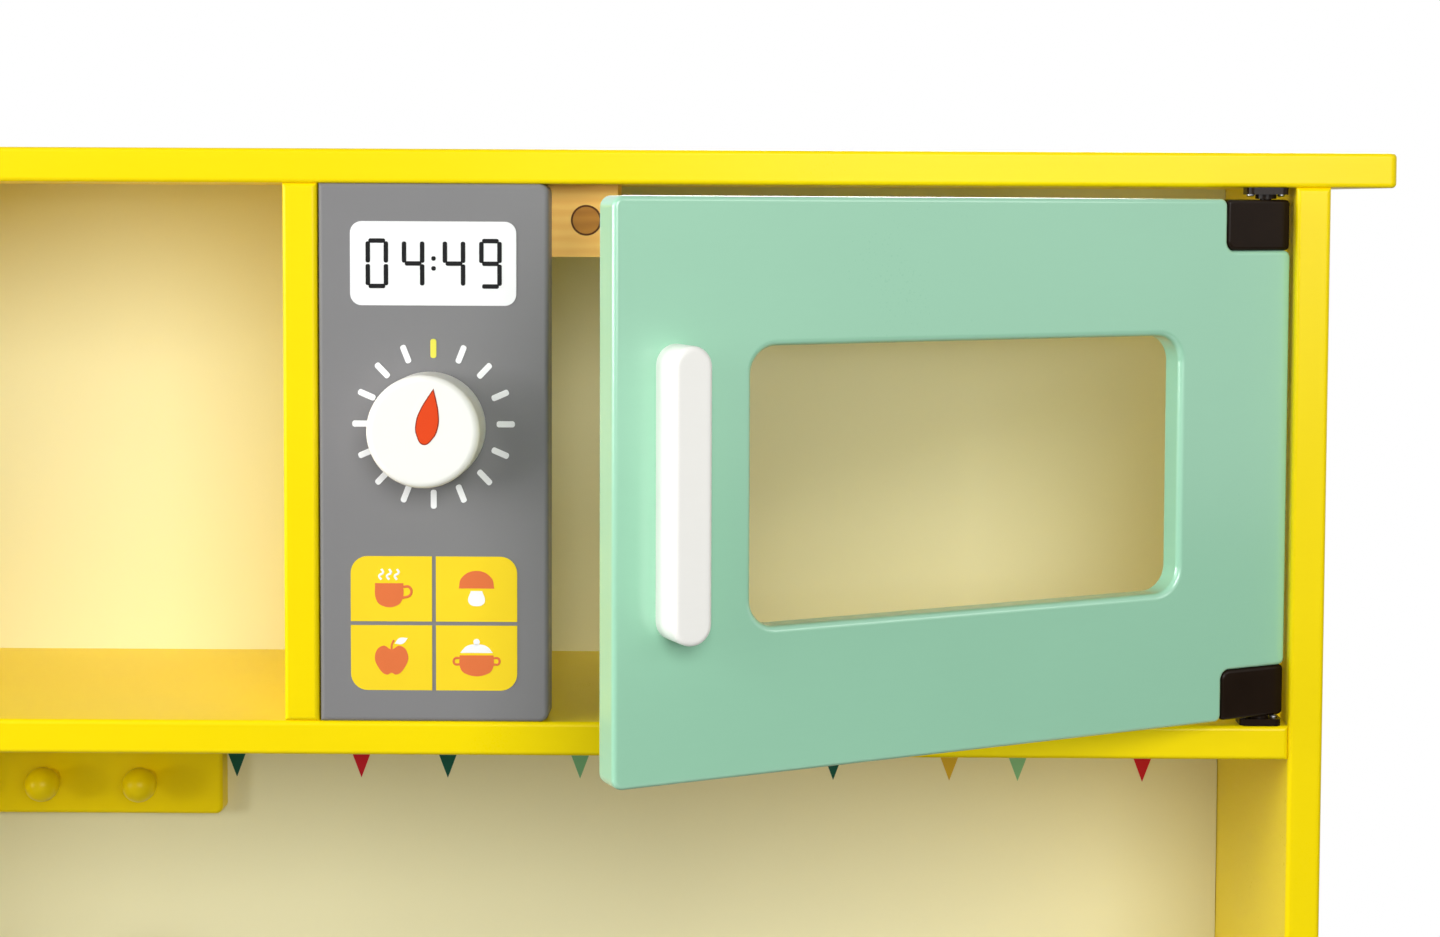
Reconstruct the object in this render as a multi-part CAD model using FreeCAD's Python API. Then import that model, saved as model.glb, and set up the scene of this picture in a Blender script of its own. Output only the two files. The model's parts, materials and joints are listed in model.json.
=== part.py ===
import FreeCAD, Part
import math
import os

Vector = FreeCAD.Vector

# Boards
board = 15.0                # painted boards and doors
back_board = 5.0            # thin back panels
arris = 2.0                 # rounding along the visible board edges
board_fit = 0.3             # play where one board slips past another

# Widths, from the left side panel to the right one
niche_width = 324.3         # open niche and cupboard
control_gap = 0.7           # between the divider and the control panel
control_width = 99.8        # grey control panel
microwave_opening = 323.4   # from the control panel to the right side panel
end_overhang = 28.4         # of the top board and worktop past each side panel

# Depths
base_depth = 300.0
hutch_depth = 170.0

# Hutch
hutch_clear = 235.0         # between the shelf and the top board
alcove_clear = 215.0        # between the worktop and the shelf
dial_height = 129.4         # dial centre above the shelf
dial_offset = 1.3           # dial to the left of its panel's centre
panel_corner = 4.0          # control panel's corners beside the door

# Base
worktop_nose = 10.0         # worktop past the base front
worktop_corner = 20.0
plinth_height = 50.0
plinth_setback = 30.0
lower_niche = 80.0          # open niche under the oven
oven_clear = 250.0          # between the oven floor and the fascia
fascia_height = 95.0
foot_length = 50.0          # what the side panel stands on, front and back
foot_relief = 12.0          # clear height between those feet
relief_corner = 8.0

# Doors
door_corner = 3.0
free_corner = 4.5           # corners of the free edge
gap_above = 5.0
gap_below = 4.2
gap_free = 1.5              # free edge to its neighbour
pivot_inset = 12.0          # hinge axis to the side panel
hinge_side_gap = 3.5        # hinge edge to the side panel
open_angle = 26.8           # microwave door as it stands
window_margin = 58.0        # wood round the window
window_corner = 11.0
window_arris = 2.5
window_lip = 10.5           # wood in front of the pane
rebate_margin = 8.0
pane_thickness = 3.0
pane_clearance = 0.4

# Door handles
handle_length = 113.5
handle_width = 16.3
handle_depth = 17.0
handle_edge = 25.6          # handle centre to the free edge
handle_round = 2.4

# Corner pivot hinges
block_width = 33.4
block_height = 22.0
block_inset = 0.2           # block in from the door's edges
block_recess = 0.5          # block face behind the door's face
block_round = 1.6           # along the edges of the block's face
block_corner = 2.0
notch_corner = 4.0
notch_clearance = 0.3
plate_width = 18.0
plate_setback = 0.5
plate_thickness = 3.0
plate_corner = 3.0
collar_radius = 4.5
pin_radius = 2.5
pin_length = 12.0
pin_clearance = 0.06
pin_end_play = 1.0
hinge_play = 0.3

# Door stops and magnetic catches
stop_height = 31.8
stop_depth = 25.0
stop_past = 13.8            # stop block past the magnet's centre
stop_tail = 30.0            # microwave stop block behind the control panel
stop_play = 0.5             # closed door to stop block
magnet_radius = 6.25
magnet_length = 8.0
strike_radius = 6.0
strike_thickness = 2.0
strike_edge = 13.6          # strike centre to the free edge
strike_drop = 10.7          # strike centre below the door's top
disc_clearance = 0.1

# Knobs and their shoulder bolts
knob_radius = 23.6
dial_radius = 24.2          # knob on the microwave
knob_thickness = 24.0
knob_front_round = 3.0
knob_back_round = 1.5
knob_gap = 0.6
bolt_radius = 3.0
bolt_grip = 14.0            # bolt inside the knob
bolt_head_radius = 6.5
bolt_head = 3.0
bolt_play = 0.3
bolt_clearance = 0.06
oven_knob_pitch = 120.0

# Peg rail
rail_height = 37.4
rail_thickness = 12.0
rail_corner = 3.5
rail_drop = 29.2            # rail below the shelf
rail_offset = 11.6          # rail to the left of its bay's centre
peg_count = 4
peg_pitch = 48.3
peg_end = 37.4              # first peg to the rail's end
peg_reach = 16.0            # rail to the centre of the peg's head
peg_head_radius = 8.5
peg_root_radius = 4.2
peg_neck_radius = 3.4
peg_tenon_radius = 3.5
peg_tenon = 9.0
peg_clearance = 0.1

# Sink and faucet
sink_front_gap = 42.0       # closed cupboard door to the bowl
sink_depth = 55.0
sink_wall = 2.0
sink_round = 22.0           # between the wall and the bottom
sink_rim = 12.0
sink_rim_height = 2.5
sink_clearance = 0.4
faucet_radius = 15.0
faucet_height = 30.0
faucet_round = 4.0
faucet_back_gap = 12.0
faucet_sink_gap = 6.0
spout_radius = 6.5
spout_collar_radius = 9.5
spout_collar = 5.0
spout_rise = 17.0           # straight stretch above the collar
spout_bend = 35.0
spout_drop = 10.0
spout_seat = 18.0           # stem inside the post
spout_bore_radius = 4.5
spout_bore = 8.0
spout_clearance = 0.08
tap_spread = 52.0           # tap axis to the faucet axis
tap_hub_radius = 9.0
tap_hub_height = 17.0
tap_round = 2.5
tap_arm_reach = 23.0        # tap axis to the tip of an arm
tap_arm_width = 9.0
tap_arm_height = 8.0
tap_arm_round = 1.5
tap_pin_radius = 4.0
tap_pin = 12.0
tap_clearance = 0.08
tap_play = 0.3

# Hob rings
ring_radius = 68.0
ring_thickness = 4.0
ring_round = 1.5
ring_pitch = 180.0
groove_width = 4.0
groove_depth = 1.2
groove_radii = (24.0, 42.0)

# Board screws
screw_head_radius = 4.5
screw_head = 2.5
screw_radius = 2.5
screw_length = 45.0
screw_edge = 35.0           # screw to the board's front or back edge
screw_clearance = 0.05

# Places across the width, with the kitchen centred
inner_width = niche_width + board + control_gap + control_width + microwave_opening
overall_width = inner_width + 2 * board + 2 * end_overhang
inner = inner_width / 2
divider_left = niche_width - inner
divider_right = divider_left + board
control_left = divider_right + control_gap
control_right = control_left + control_width
dial_x = (control_left + control_right) / 2 - dial_offset
left_bay = (divider_left - inner) / 2
right_bay = (divider_right + inner) / 2
oven_opening = inner - divider_right

# Places in depth, with the knobs as the foremost pieces
total_depth = base_depth + knob_gap + knob_thickness
back = total_depth / 2
inner_back = back - back_board
base_front = back - base_depth
hutch_front = back - hutch_depth
worktop_front = base_front - worktop_nose
faucet_y = inner_back - faucet_back_gap - faucet_radius
sink_front = base_front + board + sink_front_gap + sink_wall
sink_rear = faucet_y - faucet_radius - faucet_sink_gap - sink_rim
sink_y = (sink_front + sink_rear) / 2
sink_radius = (sink_rear - sink_front) / 2

# Places in height, from the floor up
floor_top = plinth_height + board
oven_bottom = floor_top + lower_niche + board
oven_top = oven_bottom + oven_clear
worktop_bottom = oven_top + fascia_height
worktop_height = worktop_bottom + board
shelf_bottom = worktop_height + alcove_clear
shelf_top = shelf_bottom + board
dial_z = shelf_top + dial_height
roof = shelf_top + hutch_clear
overall_height = roof + board

tiny = 0.001


def on_xy(z):
    return lambda a, b: Vector(a, b, z)


def on_xz(y):
    return lambda a, b: Vector(a, y, b)


def on_yz(x):
    return lambda a, b: Vector(x, a, b)


# Closed face through corners (a, b, radius), each rounded by its own radius
def outline_face(corners, place):
    count = len(corners)
    rounded = []
    for i in range(count):
        here = Vector(corners[i][0], corners[i][1], 0)
        radius = corners[i][2]
        before = Vector(corners[i - 1][0], corners[i - 1][1], 0) - here
        after = Vector(corners[(i + 1) % count][0], corners[(i + 1) % count][1], 0) - here
        half = before.getAngle(after) / 2
        before.normalize()
        after.normalize()
        reach = radius / math.tan(half)
        inward = before + after
        middle = here
        if radius > 0:
            inward.normalize()
            middle = here + inward * (radius / math.sin(half) - radius)
        rounded.append((here + before * reach, middle, here + after * reach))
    edges = []
    for i in range(count):
        enter, middle, leave = [place(p.x, p.y) for p in rounded[i]]
        following = place(rounded[(i + 1) % count][0].x, rounded[(i + 1) % count][0].y)
        if corners[i][2] > 0:
            edges.append(Part.Arc(enter, middle, leave).toShape())
        if leave.distanceToPoint(following) > tiny:
            edges.append(Part.LineSegment(leave, following).toShape())
    return Part.Face(Part.Wire(edges))


def slab_xy(corners, low, high):
    return outline_face(corners, on_xy(low)).extrude(Vector(0, 0, high - low))


def slab_xz(corners, near, far):
    return outline_face(corners, on_xz(near)).extrude(Vector(0, far - near, 0))


def slab_yz(corners, left, right):
    return outline_face(corners, on_yz(left)).extrude(Vector(right - left, 0, 0))


def rectangle(a0, a1, b0, b1, radius=0.0):
    return [(a0, b0, radius), (a1, b0, radius), (a1, b1, radius), (a0, b1, radius)]


def box(x0, x1, y0, y1, z0, z1):
    return slab_xy(rectangle(x0, x1, y0, y1), z0, z1)


# Upright cylinder between two heights, given in either order
def post(radius, z0, z1, x=0.0, y=0.0):
    return Part.makeCylinder(radius, abs(z1 - z0), Vector(x, y, min(z0, z1)))


# Cylinder along the depth between two places, given in either order
def plug(radius, y0, y1, x=0.0, z=0.0):
    return Part.makeCylinder(radius, abs(y1 - y0), Vector(x, min(y0, y1), z), Vector(0, 1, 0))


# Rounds the edges whose bounding box passes the test
def soften(shape, radius, chosen):
    return shape.makeFillet(radius, [edge for edge in shape.Edges if chosen(edge.BoundBox)])


def lies_at(low, high, place):
    return abs(low - place) < tiny and abs(high - place) < tiny


# Board whose front edges are rounded all round
def front_board(x0, x1, front, rear, z0, z1):
    return soften(box(x0, x1, front, rear, z0, z1), arris,
                  lambda b: lies_at(b.YMin, b.YMax, front))


# Screw that enters a board at a point and runs along a direction
def screw(point, direction, clearance=0.0):
    head = Part.makeCylinder(screw_head_radius + clearance, screw_head, point, direction)
    shank = Part.makeCylinder(screw_radius + clearance, screw_length, point, direction)
    return head.fuse(shank).removeSplitter()


def screw_places():
    places = []
    level_boards = [(shelf_top, hutch_front, (-1, 1)), (floor_top, base_front, (-1, 1)),
                    (oven_bottom, base_front, (1,))]
    for top, front, sides in level_boards:
        for side in sides:
            for y in (front + screw_edge, inner_back - screw_edge):
                point = Vector(side * (inner + board), y, top - board / 2)
                places.append((point, Vector(-side, 0, 0)))
    for x in (-inner - board / 2, (divider_left + divider_right) / 2, inner + board / 2):
        for y in (hutch_front + screw_edge, inner_back - screw_edge):
            places.append((Vector(x, y, overall_height), Vector(0, 0, -1)))
    return places


def side_panel(outer_x, inner_x):
    corners = [
        (base_front, 0, 0),
        (base_front + foot_length, 0, 0),
        (base_front + foot_length, foot_relief, relief_corner),
        (back - foot_length, foot_relief, relief_corner),
        (back - foot_length, 0, 0),
        (back, 0, 0),
        (back, roof, 0),
        (hutch_front, roof, 0),
        (hutch_front, worktop_bottom, 0),
        (base_front, worktop_bottom, 0),
    ]
    panel = slab_yz(corners, min(outer_x, inner_x), max(outer_x, inner_x))
    panel = soften(panel, arris, lambda b: lies_at(b.YMin, b.YMax, base_front)
                   and b.ZLength > foot_relief)
    return soften(panel, arris, lambda b: lies_at(b.YMin, b.YMax, hutch_front)
                  and b.ZMax > worktop_height)


def top_board():
    half = overall_width / 2
    slab = slab_xy(rectangle(-half, half, hutch_front, back, door_corner), roof, overall_height)
    return soften(slab, arris, lambda b: b.ZLength < tiny)


def carcass_boards():
    boards = {
        "left_side_panel": side_panel(-inner - board, -inner),
        "right_side_panel": side_panel(inner + board, inner),
        "top_board": top_board(),
        "hutch_shelf": front_board(-inner, inner, hutch_front, inner_back, shelf_bottom, shelf_top),
        "hutch_divider": front_board(divider_left, divider_right, hutch_front, inner_back,
                                     shelf_top, roof),
        "base_divider": front_board(divider_left, divider_right, base_front, inner_back,
                                    floor_top, worktop_bottom),
        "base_floor": front_board(-inner, inner, base_front, inner_back, plinth_height, floor_top),
        "oven_floor": front_board(divider_right, inner, base_front, inner_back,
                                  oven_bottom - board, oven_bottom),
    }
    holes = [screw(point, direction, screw_clearance) for point, direction in screw_places()]
    boards = {name: shape.cut(holes) for name, shape in boards.items()}
    boards["carcass_screws"] = Part.makeCompound([screw(*place) for place in screw_places()])
    plinth_front = base_front + plinth_setback
    boards["plinth"] = box(-inner, inner, plinth_front, plinth_front + board, 0, plinth_height)
    boards["upper_back_panel"] = box(-inner + board_fit, inner - board_fit, inner_back, back,
                                     worktop_bottom, roof)
    boards["base_back_panel"] = box(-inner + board_fit, inner - board_fit, inner_back, back,
                                    plinth_height, worktop_bottom)
    return boards


# Knob on its shoulder bolt, in front of a panel whose face is at front
def knob(radius, x, front, z):
    rear = front - knob_gap
    face = rear - knob_thickness
    body = plug(radius, face, rear, x, z)
    body = soften(body, knob_front_round, lambda b: lies_at(b.YMin, b.YMax, face))
    body = soften(body, knob_back_round, lambda b: lies_at(b.YMin, b.YMax, rear))
    grip_end = rear - bolt_grip
    body = body.cut(plug(bolt_radius + bolt_clearance, grip_end, rear, x, z))
    head_seat = front + board + bolt_play
    head = plug(bolt_head_radius, head_seat, head_seat + bolt_head, x, z)
    bolt = head.fuse(plug(bolt_radius, grip_end, head_seat, x, z)).removeSplitter()
    return body, bolt


def knob_bore(x, front, z):
    return plug(bolt_radius + bolt_clearance, front - board, front + 2 * board, x, z)


# Grey panels that carry the knobs, and the knobs themselves
def panels_and_knobs():
    nodes = {}
    corners = [(control_left, shelf_top, 0), (control_right, shelf_top, panel_corner),
               (control_right, roof, panel_corner), (control_left, roof, 0)]
    panel = slab_xz(corners, hutch_front, hutch_front + board)
    panel = soften(panel, arris, lambda b: lies_at(b.YMin, b.YMax, hutch_front))
    nodes["control_panel"] = panel.cut(knob_bore(dial_x, hutch_front, dial_z))
    dial = knob(dial_radius, dial_x, hutch_front, dial_z)
    nodes["microwave_dial_knob"], nodes["microwave_dial_bolt"] = dial
    fascia = front_board(divider_right, inner, base_front, base_front + board,
                         oven_top, worktop_bottom)
    knob_z = oven_top + fascia_height / 2
    for step, name in ((-1, "left"), (0, "centre"), (1, "right")):
        x = right_bay + step * oven_knob_pitch
        fascia = fascia.cut(knob_bore(x, base_front, knob_z))
        pair = knob(knob_radius, x, base_front, knob_z)
        nodes[name + "_oven_knob"], nodes[name + "_oven_bolt"] = pair
    nodes["oven_fascia"] = fascia
    return nodes


# Door closed, with the hinge on the z axis, its free edge at -width and its face towards -y
def door_panel(width, low, high, glazed):
    half = board / 2
    hinge_edge = pivot_inset - hinge_side_gap
    notch_x = hinge_edge - block_inset - block_width - notch_clearance
    notch = block_inset + block_height
    corners = [
        (-width, low, free_corner),
        (notch_x, low, door_corner),
        (notch_x, low + notch, notch_corner),
        (hinge_edge, low + notch, door_corner),
        (hinge_edge, high - notch, door_corner),
        (notch_x, high - notch, notch_corner),
        (notch_x, high, door_corner),
        (-width, high, free_corner),
    ]
    panel = slab_xz(corners, -half, half)
    panel = soften(panel, arris, lambda b: b.YLength < tiny)
    if glazed:
        panel = cut_window(panel, width, low, high)
    strike = plug(strike_radius + disc_clearance, half - strike_thickness, half,
                  strike_edge - width, high - strike_drop)
    return panel.cut(strike)


def window_rectangle(width, low, high, grow):
    hinge_edge = pivot_inset - hinge_side_gap
    margin = window_margin - grow
    return rectangle(margin - width, hinge_edge - margin, low + margin, high - margin,
                     window_corner + grow)


def cut_window(panel, width, low, high):
    half = board / 2
    window = window_rectangle(width, low, high, 0)
    panel = panel.cut(slab_xz(window, -board, board))
    left, right = window[0][0] - tiny, window[1][0] + tiny
    bottom, top = window[0][1] - tiny, window[2][1] + tiny
    panel = soften(panel, window_arris, lambda b: lies_at(b.YMin, b.YMax, -half)
                   and b.XMin > left and b.XMax < right and b.ZMin > bottom and b.ZMax < top)
    rebate = slab_xz(window_rectangle(width, low, high, rebate_margin), window_lip - half, board)
    return panel.cut(rebate)


def door_pane(width, low, high):
    near = window_lip - board / 2
    grow = rebate_margin - pane_clearance
    return slab_xz(window_rectangle(width, low, high, grow), near, near + pane_thickness)


def door_handle(width, low, high):
    x = handle_edge - width
    middle = (low + high) / 2
    face = -board / 2 - handle_depth
    bar = slab_xz(rectangle(x - handle_width / 2, x + handle_width / 2, middle - handle_length / 2,
                            middle + handle_length / 2, handle_width / 2), face, -board / 2)
    return soften(bar, handle_round, lambda b: lies_at(b.YMin, b.YMax, face))


# Corner block of a pivot hinge: face is the side that the pin enters, inward is 1 or -1
def hinge_block(face, inward):
    right = pivot_inset - hinge_side_gap - block_inset
    left = right - block_width
    seat = face + inward * block_height
    near = block_recess - board / 2
    corners = [(right, face, block_corner), (right, seat, block_corner),
               (left, seat, notch_corner), (left, face, block_corner)]
    block = slab_xz(corners, near, board / 2)
    block = soften(block, block_round, lambda b: lies_at(b.YMin, b.YMax, near))
    bore_end = face + inward * (pin_length + pin_end_play)
    return block.cut(post(pin_radius + pin_clearance, face, bore_end))


# Pivot plate on the carcass, with the collar and pin that reach into the block
def pivot_plate(seat, face, inward):
    half_width = plate_width / 2
    half_depth = board / 2 - plate_setback
    under = seat + inward * plate_thickness
    outline = rectangle(-half_width, half_width, -half_depth, half_depth, plate_corner)
    plate = slab_xy(outline, min(seat, under), max(seat, under))
    collar_end = face - inward * hinge_play
    collar = post(collar_radius, under, collar_end)
    pin = post(pin_radius, collar_end, face + inward * pin_length)
    return plate.fuse([collar, pin]).removeSplitter()


# One hinged door with its hardware, in the opening from seat_low to seat_high
def hinged_door(name, opening, seat_low, seat_high, glazed, place):
    width = opening - pivot_inset - gap_free
    low = seat_low + gap_below
    high = seat_high - gap_above
    top_face = high - block_inset
    bottom_face = low + block_inset
    strike = plug(strike_radius, board / 2 - strike_thickness, board / 2,
                  strike_edge - width, high - strike_drop)
    plates = [pivot_plate(seat_high, top_face, -1), pivot_plate(seat_low, bottom_face, 1)]
    blocks = [hinge_block(top_face, -1), hinge_block(bottom_face, 1)]
    nodes = {
        name + "_door_panel": place(door_panel(width, low, high, glazed)),
        name + "_door_handle": place(door_handle(width, low, high)),
        name + "_hinge_blocks": place(Part.makeCompound(blocks)),
        name + "_strike_disc": place(strike),
        name + "_pivot_plates": place(Part.makeCompound(plates), fixed=True),
    }
    if glazed:
        nodes[name + "_door_pane"] = place(door_pane(width, low, high))
    return nodes


# Puts a door's pieces on its hinge axis, mirrored for a left-hand door and turned open by an angle
def door_place(hinge_x, front, mirrored=False, angle=0.0):
    def place(shape, fixed=False):
        moved = shape.mirror(Vector(0, 0, 0), Vector(1, 0, 0)) if mirrored else shape.copy()
        if not fixed:
            moved.rotate(Vector(0, 0, 0), Vector(0, 0, 1), -angle if mirrored else angle)
        moved.translate(Vector(hinge_x, front + board / 2, 0))
        return moved
    return place


def doors():
    right_axis = inner - pivot_inset
    nodes = hinged_door("microwave", microwave_opening, shelf_top, roof, True,
                        door_place(right_axis, hutch_front, angle=open_angle))
    nodes.update(hinged_door("oven", oven_opening, oven_bottom, oven_top, True,
                             door_place(right_axis, base_front)))
    nodes.update(hinged_door("cupboard", niche_width, floor_top, worktop_bottom, False,
                             door_place(-right_axis, base_front, mirrored=True)))
    return nodes


# Block that a closing door meets, and the magnet in it; towards_hinge is 1 or -1 along x
def door_stop(free_edge, towards_hinge, tail, front, seat_high):
    near = front + board + stop_play
    magnet_x = free_edge + towards_hinge * strike_edge
    magnet_z = seat_high - gap_above - strike_drop
    ends = (free_edge - towards_hinge * tail, magnet_x + towards_hinge * stop_past)
    block = box(min(ends), max(ends), near, near + stop_depth, seat_high - stop_height, seat_high)
    bore = plug(magnet_radius + disc_clearance, near, near + magnet_length, magnet_x, magnet_z)
    magnet = plug(magnet_radius, near, near + magnet_length, magnet_x, magnet_z)
    return block.cut(bore), magnet


def door_stops():
    nodes = {}
    pair = door_stop(control_right + gap_free, 1, gap_free + stop_tail, hutch_front, roof)
    nodes["microwave_stop_block"], nodes["microwave_magnet"] = pair
    pair = door_stop(divider_right + gap_free, 1, gap_free, base_front, oven_top)
    nodes["oven_stop_block"], nodes["oven_magnet"] = pair
    pair = door_stop(divider_left - gap_free, -1, gap_free, base_front, worktop_bottom)
    nodes["cupboard_stop_block"], nodes["cupboard_magnet"] = pair
    return nodes


# Turned peg with a round head, its tenon in the rail
def peg(x, front, z):
    head_y = front - peg_reach
    toward = Vector(0, -1, 0)
    shank = Part.makeCone(peg_root_radius, peg_neck_radius, peg_reach, Vector(x, front, z), toward)
    head = Part.makeSphere(peg_head_radius, Vector(x, head_y, z))
    tenon = plug(peg_tenon_radius, front, front + peg_tenon, x, z)
    return shank.fuse([head, tenon]).removeSplitter()


def peg_rail():
    length = 2 * peg_end + (peg_count - 1) * peg_pitch
    left = left_bay - rail_offset - length / 2
    right = left + length
    top = shelf_bottom - rail_drop
    front = inner_back - rail_thickness
    rail = slab_xz(rectangle(left, right, top - rail_height, top, rail_corner), front, inner_back)
    rail = soften(rail, arris, lambda b: lies_at(b.YMin, b.YMax, front))
    middle = top - rail_height / 2
    places = [right - peg_end - step * peg_pitch for step in range(peg_count)]
    bores = [plug(peg_tenon_radius + peg_clearance, front, front + peg_tenon, x, middle)
             for x in places]
    pegs = [peg(x, front, middle) for x in places]
    return {"peg_rail": rail.cut(bores), "rail_pegs": Part.makeCompound(pegs)}


def tap_places():
    return {"left": left_bay - tap_spread, "right": left_bay + tap_spread}


def worktop():
    half = overall_width / 2
    ear = hutch_front - board_fit
    slot = inner - board_fit
    corners = [
        (-half, worktop_front, worktop_corner), (half, worktop_front, worktop_corner),
        (half, ear, 0), (slot, ear, 0), (slot, inner_back, 0),
        (-slot, inner_back, 0), (-slot, ear, 0), (-half, ear, 0),
    ]
    top = slab_xy(corners, worktop_bottom, worktop_height)
    nose = worktop_front + worktop_corner + tiny
    top = soften(top, arris, lambda b: b.ZLength < tiny
                 and (b.YMax < nose or lies_at(abs(b.XMin), abs(b.XMax), half)))
    hole = post(sink_radius + sink_wall + sink_clearance, worktop_bottom, worktop_height,
                left_bay, sink_y)
    bores = [post(tap_pin_radius + tap_clearance, worktop_height - tap_pin, worktop_height,
                  x, faucet_y) for x in tap_places().values()]
    return top.cut([hole] + bores)


# Revolves a face drawn in the xz plane about the upright axis at x, y
def revolved(edges, x, y):
    solid = Part.Face(Part.Wire(edges)).revolve(Vector(0, 0, 0), Vector(0, 0, 1), 360)
    solid.translate(Vector(x, y, 0))
    return solid


def sink_bowl():
    place = on_xz(0)
    top = worktop_height + sink_rim_height
    bottom = worktop_height - sink_depth
    outer = sink_radius + sink_wall
    edge = sink_radius + sink_rim
    bend = sink_radius - sink_round
    slant = math.sqrt(0.5)
    inner_middle = place(bend + sink_round * slant, bottom + sink_round - sink_round * slant)
    outer_round = sink_round + sink_wall
    outer_middle = place(bend + outer_round * slant, bottom + sink_round - outer_round * slant)
    rim_middle = place(edge - sink_rim_height + sink_rim_height * slant,
                       worktop_height + sink_rim_height * slant)
    edges = [
        Part.LineSegment(place(0, bottom), place(bend, bottom)),
        Part.Arc(place(bend, bottom), inner_middle, place(sink_radius, bottom + sink_round)),
        Part.LineSegment(place(sink_radius, bottom + sink_round), place(sink_radius, top)),
        Part.LineSegment(place(sink_radius, top), place(edge - sink_rim_height, top)),
        Part.Arc(place(edge - sink_rim_height, top), rim_middle, place(edge, worktop_height)),
        Part.LineSegment(place(edge, worktop_height), place(outer, worktop_height)),
        Part.LineSegment(place(outer, worktop_height), place(outer, bottom + sink_round)),
        Part.Arc(place(outer, bottom + sink_round), outer_middle, place(bend, bottom - sink_wall)),
        Part.LineSegment(place(bend, bottom - sink_wall), place(0, bottom - sink_wall)),
        Part.LineSegment(place(0, bottom - sink_wall), place(0, bottom)),
    ]
    return revolved([edge.toShape() for edge in edges], left_bay, sink_y)


def faucet_post():
    top = worktop_height + faucet_height
    body = post(faucet_radius, worktop_height, top, left_bay, faucet_y)
    body = soften(body, faucet_round, lambda b: lies_at(b.ZMin, b.ZMax, top))
    return body.cut(post(spout_radius + spout_clearance, top - spout_seat, top, left_bay, faucet_y))


# Bent spout whose stem turns in the post
def faucet_spout():
    seat = worktop_height + faucet_height
    start = seat - spout_seat
    bend = seat + spout_collar + spout_rise
    near = faucet_y - 2 * spout_bend
    points = [Vector(left_bay, faucet_y, start), Vector(left_bay, faucet_y, bend),
              Vector(left_bay, faucet_y - spout_bend, bend + spout_bend),
              Vector(left_bay, near, bend), Vector(left_bay, near, bend - spout_drop)]
    path = Part.Wire([Part.LineSegment(points[0], points[1]).toShape(),
                      Part.Arc(points[1], points[2], points[3]).toShape(),
                      Part.LineSegment(points[3], points[4]).toShape()])
    section = Part.Wire([Part.Circle(points[0], Vector(0, 0, 1), spout_radius).toShape()])
    tube = path.makePipeShell([section], True, False)
    collar = post(spout_collar_radius, seat, seat + spout_collar, left_bay, faucet_y)
    mouth = points[4].z
    bore = post(spout_bore_radius, mouth, mouth + spout_bore, left_bay, near)
    return tube.fuse(collar).removeSplitter().cut(bore)


# Four-armed tap handle whose pin turns in the worktop
def tap_handle(x):
    low = worktop_height + tap_play
    high = low + tap_hub_height
    hub = post(tap_hub_radius, low, high, x, faucet_y)
    hub = soften(hub, tap_round, lambda b: lies_at(b.ZMin, b.ZMax, high))
    pieces = [post(tap_pin_radius, worktop_height - tap_pin, low, x, faucet_y)]
    arm_low = (low + high - tap_arm_height) / 2
    half_width = tap_arm_width / 2
    outline = rectangle(-tap_arm_reach, tap_arm_reach, -half_width, half_width, half_width)
    for turn in (45, 135):
        bar = slab_xy(outline, arm_low, arm_low + tap_arm_height)
        bar = soften(bar, tap_arm_round, lambda b: b.ZLength < tiny)
        bar.rotate(Vector(0, 0, 0), Vector(0, 0, 1), turn)
        bar.translate(Vector(x, faucet_y, 0))
        pieces.append(bar)
    return hub.fuse(pieces).removeSplitter()


# Hob ring with round grooves, lying on the worktop
def hob_ring(x):
    y = (worktop_front + inner_back) / 2
    top = worktop_height + ring_thickness
    ring = post(ring_radius, worktop_height, top, x, y)
    ring = soften(ring, ring_round, lambda b: lies_at(b.ZMin, b.ZMax, top))
    for radius in groove_radii:
        wide = post(radius + groove_width / 2, top - groove_depth, top, x, y)
        ring = ring.cut(wide.cut(post(radius - groove_width / 2, top - groove_depth, top, x, y)))
    return ring


def worktop_pieces():
    nodes = {
        "worktop": worktop(),
        "sink_bowl": sink_bowl(),
        "faucet_post": faucet_post(),
        "faucet_spout": faucet_spout(),
        "left_hob_ring": hob_ring(right_bay - ring_pitch / 2),
        "right_hob_ring": hob_ring(right_bay + ring_pitch / 2),
    }
    for name, x in tap_places().items():
        nodes[name + "_tap_handle"] = tap_handle(x)
    return nodes


os.makedirs("parts", exist_ok=True)
for group in (carcass_boards, panels_and_knobs, doors, door_stops, peg_rail, worktop_pieces):
    for node, shape in group().items():
        shape.exportStep("parts/" + node + ".step")
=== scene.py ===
import bmesh
import bpy
import json
import math
from mathutils import Matrix, Vector


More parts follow.
